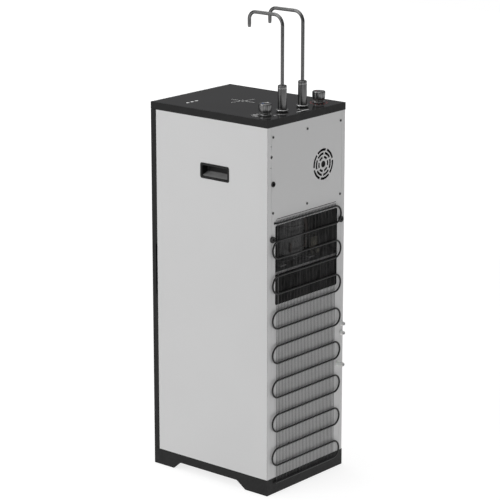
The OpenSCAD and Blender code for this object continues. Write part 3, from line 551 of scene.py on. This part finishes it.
def sweep(bm, path, radii, sides):
    """A round bar along a path of points, with a radius at each."""
    rings = []
    normal = None
    for i, point in enumerate(path):
        ahead = (path[min(i + 1, len(path) - 1)] - path[max(i - 1, 0)]).normalized()
        if normal is None:
            normal = ahead.orthogonal().normalized()
        normal = (normal - ahead * normal.dot(ahead)).normalized()
        rings.append(circle(point, normal, ahead.cross(normal), radii[i], sides))
    loft(bm, rings)


def arc(centre_point, radius, start, end, steps):
    """Points of an arc in the YZ plane, with 0 degrees towards +Y and 90 upwards."""
    points = []
    for k in range(steps + 1):
        a = math.radians(start + (end - start) * k / steps)
        points.append(centre_point + Vector((0, radius * math.cos(a), radius * math.sin(a))))
    return points


def slab(bm, outline, z, thickness):
    """A thin flat print with this outline, of (x, y) points in metres."""
    low = [bm.verts.new((x, y, z)) for x, y in outline]
    high = [bm.verts.new((x, y, z + thickness)) for x, y in outline]
    bm.faces.new(low[::-1])
    bm.faces.new(high)
    bridge(bm, low, high)


# ---------------------------------------------------------------- taps and knobs

TAP_Y = centre("knob_cold").y
TAP_X = centre("spout_cold").x
KNOB_X = centre("knob_cold").x
SPOUT_R = (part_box("spout_cold")[1].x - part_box("spout_cold")[0].x) / 2
BACK_BEND = 27 * MM
FRONT_BEND = 20 * MM
SPOUT_SIDES = 32
SPOUT_TIP_Z = TOP_Z + 205.5 * MM
STRAIGHT_TOP_Z = TOP_Z + 100 * MM
# The tip's outside: height above its end in mm, and share of the tube's radius
TIP_TAPER = ((9, 1.0), (5, 0.97), (2, 0.9), (0.5, 0.83), (0, 0.76))
TIP_WALL = 0.7 * MM
# Heights in mm above the tip's end of the rings inside its bore
BORE_HEIGHTS = (0.1, 0.6, 14)


def make_spout(side, body, node):
    """A bent tube, slightly narrowed at its open tip."""
    low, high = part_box(node)
    x = side * TAP_X
    column_y, tip_y = high.y - SPOUT_R, low.y + SPOUT_R
    top = high.z - SPOUT_R
    path = [Vector((x, column_y, low.z)), Vector((x, column_y, STRAIGHT_TOP_Z))]
    path += arc(Vector((x, column_y - BACK_BEND, top - BACK_BEND)), BACK_BEND, 0, 90, 18)
    path += arc(Vector((x, tip_y + FRONT_BEND, top - FRONT_BEND)), FRONT_BEND, 90, 180, 16)
    tip_start = len(path)
    radii = [SPOUT_R] * tip_start
    for above, share in TIP_TAPER:
        path.append(Vector((x, tip_y, SPOUT_TIP_Z + above * MM)))
        radii.append(SPOUT_R * share)
    bore = radii[-1] - TIP_WALL
    for above in BORE_HEIGHTS:
        path.append(Vector((x, tip_y, SPOUT_TIP_Z + above * MM)))
        radii.append(bore)
    bm = bmesh.new()
    sweep_spout(bm, path, radii, tip_start)
    finish_piece(node + "_tube", bm, body, "chrome", (node,))


def sweep_spout(bm, path, radii, tip_start):
    """A sweep whose tip turns back into its own bore, so its rings keep one direction there."""
    across, down = Vector((1, 0, 0)), Vector((0, 0, -1))
    rings = []
    for i, point in enumerate(path):
        before, after = path[max(i - 1, 0)], path[min(i + 1, len(path) - 1)]
        ahead = down if i >= tip_start else (after - before).normalized()
        rings.append(circle(point, across, ahead.cross(across), radii[i], SPOUT_SIDES))
    loft(bm, rings)


# Outlines of the turned pieces: radius, height above the plate and corner reach, all in mm
COLLAR = [
    (0, -48, 0), (8, -48, 0.8), (8, 5.8, 0), (11.5, 5.8, 0.6), (11.5, 59.2, 0.4), (11.1, 59.8, 0.3),
    (11.1, 61.0, 0.3), (11.5, 61.6, 0.4), (11.5, 66.4, 1.0), (10.2, 68, 0.9), (5.2, 68, 0.4),
    (4.9, 66.5, 0.3), (4.9, 31, 0), (0, 31, 0),
]
FLARE = [
    (8.0, 0.05, 0), (12.4, 0.05, 0.5), (13.0, 1.0, 1.0), (16.3, 2.6, 0.8), (16.9, 4.0, 0.8),
    (16.4, 5.4, 0.9), (12.4, 5.9, 0.6), (8.0, 5.9, 0),
]
KNOB = [
    (0, -16, 0), (3, -16, 0), (3, 5.6, 0), (12.2, 5.6, 0.9), (14.8, 8.4, 3.0), (16.7, 13.5, 3.5),
    (17.2, 21, 2.0), (17.2, 29.2, 1.6), (15.9, 30.8, 1.0), (14.4, 30.8, 0.4), (13.9, 30.1, 0.4),
    (0, 30.3, 0),
]
KNOB_RIM = [(14.3, 30.5, 0), (15.7, 30.5, 0), (15.7, 30.98, 0.25), (14.4, 30.98, 0.25)]
COLLAR_BAND = [(11.0, 59.9, 0), (11.42, 59.9, 0.1), (11.42, 60.9, 0.1), (11.0, 60.9, 0)]
KNOB_RING = [
    (6.1, 0.05, 0), (14.7, 0.05, 0.4), (15.4, 1.4, 0.8), (16.7, 3.4, 0.6), (16.6, 4.6, 0.5),
    (15.2, 4.8, 0.3), (10, 4.8, 0.3), (10, 2, 0.3), (6.1, 2, 0),
]


# The mark on each knob's cap
POINTER_IN = 7.5 * MM
POINTER_HALF_X = 1.1 * MM
POINTER_HALF_Y = 4.5 * MM
POINTER_LOW = 30.15 * MM
POINTER_T = 0.3 * MM


def make_taps():
    """The collars, rings, spouts and knobs that stand on the plate."""
    collars, flares, rings, bands = (bmesh.new() for _ in range(4))
    for side in (-1, 1):
        tap_foot = Vector((side * TAP_X, TAP_Y, TOP_Z))
        lathe(collars, COLLAR, tap_foot)
        lathe(flares, FLARE, tap_foot, closed=True)
        lathe(bands, COLLAR_BAND, tap_foot, closed=True)
        lathe(rings, KNOB_RING, Vector((side * KNOB_X, TAP_Y, TOP_Z)), closed=True)
    bright = finishes["bright_chrome"]
    finish_piece("tap_collars", collars, "cabinet", "chrome", ("tap_bodies",))
    finish_piece("tap_flares", flares, "cabinet", "chrome", ("tap_rings",), bright)
    finish_piece("collar_bands", bands, "cabinet", "chrome", (), bright)
    finish_piece("knob_base_rings", rings, "cabinet", "chrome", ("knob_rings",), bright)
    make_spout(1, "cold_spout", "spout_cold")
    make_spout(-1, "hot_spout", "spout_hot")
    for side, label, paint in ((1, "cold", "print_blue"), (-1, "hot", "print_red")):
        body = label + "_knob"
        foot = Vector((side * KNOB_X, TAP_Y, TOP_Z))
        cap = bmesh.new()
        lathe(cap, KNOB, foot)
        knob_finish = finishes["knob_chrome"]
        finish_piece("knob_cap_" + label, cap, body, "chrome", ("knob_" + label,), knob_finish)
        rim = bmesh.new()
        lathe(rim, KNOB_RIM, foot, closed=True)
        finish_piece("knob_rim_" + label, rim, body, "chrome", (), bright)
        pointer = bmesh.new()
        mark = pill(foot.x, foot.y - POINTER_IN, POINTER_HALF_X, POINTER_HALF_Y)
        slab(pointer, mark, TOP_Z + POINTER_LOW, POINTER_T)
        finish_piece("knob_pointer_" + label, pointer, body, "white_plastic", (), finishes[paint])


# ---------------------------------------------------------------- marks printed on the top

PRINT_T = 0.05 * MM
# A line behind the taps
LINE_Y = MID_Y + 182 * MM
LINE_HALF = (25 * MM, 1.5 * MM)
# A cross that marks where the cup goes, turned by CROSS_ANGLE degrees
CROSS_Y = MID_Y - 17.5 * MM
CROSS_ANGLE = -50
# Its bars: turn from that angle in degrees, then inner reach, outer reach and half width in mm
CROSS_BARS = (
    (-36, 10, 38, 0.75), (144, 10, 38, 0.75), (36, 10, 38, 0.75), (216, 10, 38, 0.75),
    (0, 0.6, 11, 1.0), (180, 0.6, 11, 1.0), (90, 4.5, 12, 0.9), (270, 4.5, 12, 0.9),
)
# A thin trim line along the front edge
TRIM_IN = 2 * MM
TRIM_HALF = (HALF_W - 6 * MM, 0.7 * MM)
# Three drops near the front corner
DROP_X = 76 * MM
DROP_PITCH = 17 * MM
DROP_COUNT = 3
DROP_Y = MID_Y - 111 * MM
DROP_SIZE = 4.2 * MM
# The scale round the cold knob: angle in degrees and outer reach in mm
COLD_MARKS = ((-22, 30), (-38, 33), (-56, 36), (-74, 33), (-92, 30), (122, 29), (140, 29))
COLD_MARK_INNER = 21 * MM
COLD_MARK_HALF = 1.1 * MM
# The ring of dashes round the hot knob
HOT_DASHES = 14
HOT_DASH_REACH = (19.5 * MM, 24.5 * MM)
HOT_DASH_HALF = 1.9 * MM


def pill(x, y, half_x, half_y, steps=6):
    """The outline of a bar along Y with round ends."""
    points = []
    for k in range(steps + 1):
        a = math.pi * k / steps
        points.append((x + half_x * math.cos(a), y + half_y - half_x + half_x * math.sin(a)))
    for k in range(steps + 1):
        a = math.pi * (1 + k / steps)
        points.append((x + half_x * math.cos(a), y - half_y + half_x + half_x * math.sin(a)))
    return points


def pill_across(x, y, half_x, half_y):
    """The outline of a bar along X with round ends."""
    return [(x + b, y - a) for a, b in pill(0, 0, half_y, half_x)]


def drop(x, y, size, steps=18):
    """The outline of a water drop that points along +X."""
    points = []
    for k in range(steps):
        a = math.tau * k / steps
        sharp = 1 + 0.9 * max(0.0, math.cos(a)) ** 3
        points.append((x + size * math.cos(a) * sharp, y + size * math.sin(a) * 0.9))
    return points


def polar_bar(x, y, angle, inner, outer, half):
    """A bar that points away from (x, y), between two radii."""
    a = math.radians(angle)
    along, across = Vector((math.cos(a), math.sin(a))), Vector((-math.sin(a), math.cos(a)))
    foot = Vector((x, y))
    corners = [(inner, -half), (outer, -half), (outer, half), (inner, half)]
    return [tuple(foot + along * r + across * w) for r, w in corners]


def print_marks(name, outlines, finish):
    """One piece of thin ink made of several outlines."""
    bm = bmesh.new()
    for outline in outlines:
        slab(bm, outline, TOP_Z, PRINT_T)
    finish_piece(name, bm, "cabinet", "white_plastic", (), finishes[finish])


def make_prints():
    """The white and red marks on the plate."""
    white = [pill_across(0, LINE_Y, *LINE_HALF)]
    for angle, inner, outer, half in CROSS_BARS:
        turned = CROSS_ANGLE + angle
        white.append(polar_bar(0, CROSS_Y, turned, inner * MM, outer * MM, half * MM))
    white.append(pill_across(0, FRONT_Y + TRIM_IN, *TRIM_HALF))
    for k in range(DROP_COUNT):
        white.append(drop(DROP_X + DROP_PITCH * k, DROP_Y, DROP_SIZE))
    for angle, reach in COLD_MARKS:
        white.append(polar_bar(KNOB_X, TAP_Y, angle, COLD_MARK_INNER, reach * MM, COLD_MARK_HALF))
    red = []
    for k in range(HOT_DASHES):
        angle = 360 * k / HOT_DASHES
        red.append(polar_bar(-KNOB_X, TAP_Y, angle, *HOT_DASH_REACH, HOT_DASH_HALF))
    print_marks("printed_marks", white, "print_white")
    print_marks("printed_heat_ring", red, "print_red")


# ---------------------------------------------------------------- grips in the side panels


def soft_rectangle(half_y, half_z, corner, steps=6):
    """Points round a rectangle with round corners, as (y, z) in mm from its middle."""
    points = []
    for quarter, (sy, sz) in enumerate(((1, 1), (-1, 1), (-1, -1), (1, -1))):
        for k in range(steps + 1):
            a = math.radians(90 * quarter + 90 * k / steps)
            y = sy * (half_y - corner) + corner * math.cos(a)
            points.append((y, sz * (half_z - corner) + corner * math.sin(a)))
    return points


# Width of a grip's bezel and thickness of its back, in mm
GRIP_BEZEL = 6.5
GRIP_BACK_T = 1.2
# How far the cup's lower wall rises at its back, as a share of its half height, and how evenly
GRIP_RISE = 0.62
GRIP_RISE_POWER = 1.15
GRIP_FIRST_INNER_RING = 10


def make_grip(side, node):
    """A moulded cup with a rolled bezel and a floor that rises towards its back."""
    low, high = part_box(node)
    middle = (low + high) / 2
    half_y, half_z = (high.y - low.y) / 2 / MM, (high.z - low.z) / 2 / MM
    depth = (high.x - low.x) / MM - GRIP_BACK_T
    inner_y, inner_z = half_y - GRIP_BEZEL, half_z - GRIP_BEZEL
    # Each ring: half width, half height, corner radius, height above the panel
    rings = [
        (inner_y - 1, inner_z - 1, 4, -depth), (inner_y + 1.6, inner_z + 1.6, 4.6, -depth + 2),
        (inner_y + 1.6, inner_z + 1.6, 4.6, -0.2), (half_y - 0.6, half_z - 0.6, 5, -0.05),
        (half_y, half_z, 5.5, 0.15), (half_y - 0.1, half_z - 0.1, 5.5, 0.7),
        (half_y - 0.6, half_z - 0.6, 5.2, 1.1), (half_y - 1.4, half_z - 1.4, 4.8, 1.2),
        (inner_y + 1.8, inner_z + 1.8, 4.6, 1.15), (inner_y + 0.8, inner_z + 0.8, 4.2, 0.7),
        (inner_y + 0.2, inner_z + 0.2, 4, -0.4), (inner_y, inner_z, 4, -2), (inner_y, inner_z, 4, -6),
        (inner_y - 0.2, inner_z - 0.2, 4, -10), (inner_y - 0.4, inner_z - 0.4, 4, -14),
        (inner_y - 0.6, inner_z - 0.6, 4, -depth + 5), (inner_y - 1.6, inner_z - 1.6, 4, -depth + 2.6),
        (inner_y - 4, inner_z - 4, 3.4, -depth + 1.7),
    ]
    points = []
    for index, (wide, tall, corner, out) in enumerate(rings):
        inside = index >= GRIP_FIRST_INNER_RING
        rise = GRIP_RISE * (max(0.0, -out) / depth) ** GRIP_RISE_POWER if inside else 0.0
        ring = []
        for y, z in soft_rectangle(wide, tall, corner):
            z = z * (1 - rise) if z < 0 else z
            ring.append(Vector((side * (HALF_W + out * MM), middle.y + y * MM, middle.z + z * MM)))
        points.append(ring)
    bm = bmesh.new()
    loft(bm, points)
    finish = finishes["grip_plastic"]
    finish_piece(node + "_moulded", bm, "cabinet", "black_plastic", (node,), finish, sharp=60)


# ---------------------------------------------------------------- machinery behind the window

# The shell's outline: radius, height and corner reach, all in mm
COMPRESSOR = [
    (0, 0, 0), (36, 0, 10), (53, 12, 8), (56, 26, 6), (56, 90, 0.6), (57.6, 91, 0.5),
    (57.6, 95, 0.5), (56, 96, 0.6), (56, 112, 14), (45, 138, 12), (16, 146, 8), (0, 146, 0),
]
# The pipe stubs: angle in degrees, height and upward reach in mm
STUBS = ((60, 30, 22), (118, 34, 18), (20, 60, 20))
# Each starts at this distance from the shell's axis and bends up this much further out
STUB_START = 55 * MM
STUB_OUT = 6 * MM
STUB_SIDES = 20
STUB_RADII = [2.6 * MM, 2.6 * MM, 2.4 * MM, 2.4 * MM, 2.4 * MM]
# A sleeve round a filter cartridge: radius, height and corner reach, all in mm
SLEEVE = [(29.95, 150, 0), (30.25, 150.3, 0.1), (30.25, 259.7, 0.1), (29.95, 260, 0)]


def make_compressor():
    """A welded steel shell with a seam and three pipe stubs."""
    low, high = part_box("compressor_shell")
    foot = Vector(((low.x + high.x) / 2, (low.y + high.y) / 2, low.z))
    shell = bmesh.new()
    lathe(shell, COMPRESSOR, foot, segments=96)
    nodes = ("compressor_shell",)
    finish_piece("compressor_can", shell, "cabinet", "compressor_paint", nodes, sharp=30)
    pipes = bmesh.new()
    for angle, height, reach in STUBS:
        a = math.radians(angle)
        out = Vector((math.cos(a), math.sin(a), 0))
        start = foot + out * STUB_START + Vector((0, 0, height * MM))
        elbow = start + out * STUB_OUT
        path = [start, start + out * STUB_OUT / 2]
        path += [elbow + Vector((0, 0, rise * MM)) for rise in (2, 6, reach)]
        sweep(pipes, path, STUB_RADII, STUB_SIDES)
    finish_piece("compressor_stubs", pipes, "cabinet", "copper", (), finishes["dull_copper"])


def make_labels():
    """A plain coloured sleeve round each filter cartridge."""
    for k, colour in enumerate(("print_blue", "print_teal", "print_blue"), 1):
        low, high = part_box(f"filter_cartridge_{k}")
        middle = (low + high) / 2
        sleeve = bmesh.new()
        lathe(sleeve, SLEEVE, Vector((middle.x, middle.y, low.z)), closed=True)
        body = f"filter_{k}"
        finish_piece(f"filter_sleeve_{k}", sleeve, body, "white_plastic", (), finishes[colour])


# ---------------------------------------------------------------- the CAD nodes

# Width of the softened edges of each CAD node, in mm
BEVELS = {
    "plinth": 1.2,
    "top_frame": 0.8,
    "top_glass": 0.35,
    "door_frame": 0.8,
    "door_glass": 0.3,
    "side_panel_right": 0.3,
    "side_panel_left": 0.3,
    "rear_cover": 0.25,
    "rear_panel": 0.25,
    "mid_shelf": 0.3,
    "shelf_post": 0.3,
    "compressor_base": 0.6,
    "control_box": 1.5,
    "filter_manifold": 1.0,
    "booster_pump": 1.0,
    "magnet_catch": 0.6,
    "terminal_cover": 2.0,
    "fan_frame": 0.6,
    "fan_rotor": 0.3,
    "water_valve": 0.5,
    "cord_bushing": 0.5,
    "cover_screws": 0.25,
    "condenser_clips": 0.5,
    "inlet_fitting": 0.4,
    "service_fittings": 0.4,
}
BEVEL_SEGMENTS = 3
BEVEL_ANGLE = 35
# Bent tubes that get more sides
SMOOTHED = ("evaporator_coil", "discharge_pipe", "tank_hoses")
# Nodes whose finish differs from the one that their slot shares
OWN_FINISH = {
    "mid_shelf": "shelf_steel",
    "shelf_post": "post_steel",
    "condenser_wires": "wire_paint",
    "filter_drier": "dull_copper",
    "discharge_pipe": "dull_copper",
    "water_valve": "dull_brass",
    "fan_rotor": "dark_plastic",
    "fan_frame": "dark_plastic",
}


def add_bevel(obj, width_mm):
    bevel = obj.modifiers.new("bevel", "BEVEL")
    bevel.width = width_mm * MM
    bevel.segments = BEVEL_SEGMENTS
    bevel.limit_method = "ANGLE"
    bevel.angle_limit = math.radians(BEVEL_ANGLE)
    bevel.harden_normals = False


def dress_frame():
    """Each CAD node gets its slot's finish, softened edges, and more sides where it is a tube."""
    slots = {row["node"]: row["material_slot"] for row in frame["record"]["subparts"]}
    for name, obj in frame["nodes"].items():
        obj.data.materials.clear()
        obj.data.materials.append(finishes[OWN_FINISH.get(name, slots[name])])
        if name in BEVELS:
            add_bevel(obj, BEVELS[name])
        if name in SMOOTHED:
            rounder = obj.modifiers.new("rounder", "SUBSURF")
            rounder.levels = 1
            rounder.render_levels = 1


# ---------------------------------------------------------------- the scene

bpy.context.scene.view_settings.view_transform = "Standard"
finishes = make_materials()
make_camera()
make_world()
make_floor()
for lamp in LIGHTS:
    area_light(*lamp)
dress_frame()
make_taps()
make_prints()
make_grip(1, "handle_cup_right")
make_grip(-1, "handle_cup_left")
make_compressor()
make_labels()
